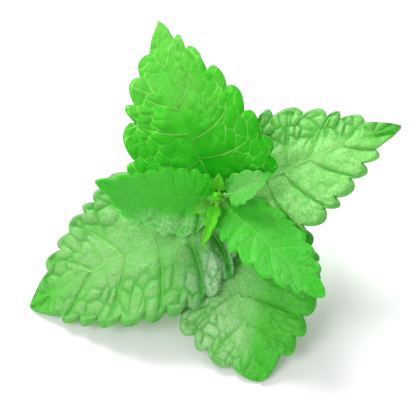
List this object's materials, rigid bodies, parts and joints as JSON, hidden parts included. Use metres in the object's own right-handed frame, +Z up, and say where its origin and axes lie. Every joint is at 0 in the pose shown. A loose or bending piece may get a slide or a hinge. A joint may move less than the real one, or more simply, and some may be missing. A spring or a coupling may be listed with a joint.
{
  "type": "mint sprig",
  "caption": "Cut mint sprig lying on a table: a square stem with toothed, quilted, heart-based leaves in crossed pairs around a young growing tip",
  "frame": {"origin": "on the table under the middle of the sprig's bounding box", "axes": "+X to the sprig's right across its widest spread, +Y towards the back where the cut stem's end rests, +Z up off the table"},
  "size_m": [0.0992, 0.0782, 0.0622],
  "materials": {
    "leaf": "fresh green leaf skin with a soft waxy sheen above, paler and more matt below",
    "young_leaf": "young yellow-green leaf skin, softly glossy",
    "stem": "fresh pale green stem, smooth with a faint sheen"
  },
  "bodies": {
    "root": {"stem": "stem", "bud": "young_leaf", "leaf_bottom": "leaf", "leaf_left": "leaf", "leaf_right": "leaf", "leaf_top": "leaf", "leaf_inner_left": "leaf", "leaf_inner_right": "leaf", "leaf_small_right": "young_leaf", "leaf_small_left": "young_leaf", "leaf_tiny_front": "young_leaf", "leaf_tiny_back": "young_leaf"}
  },
  "joints": []
}
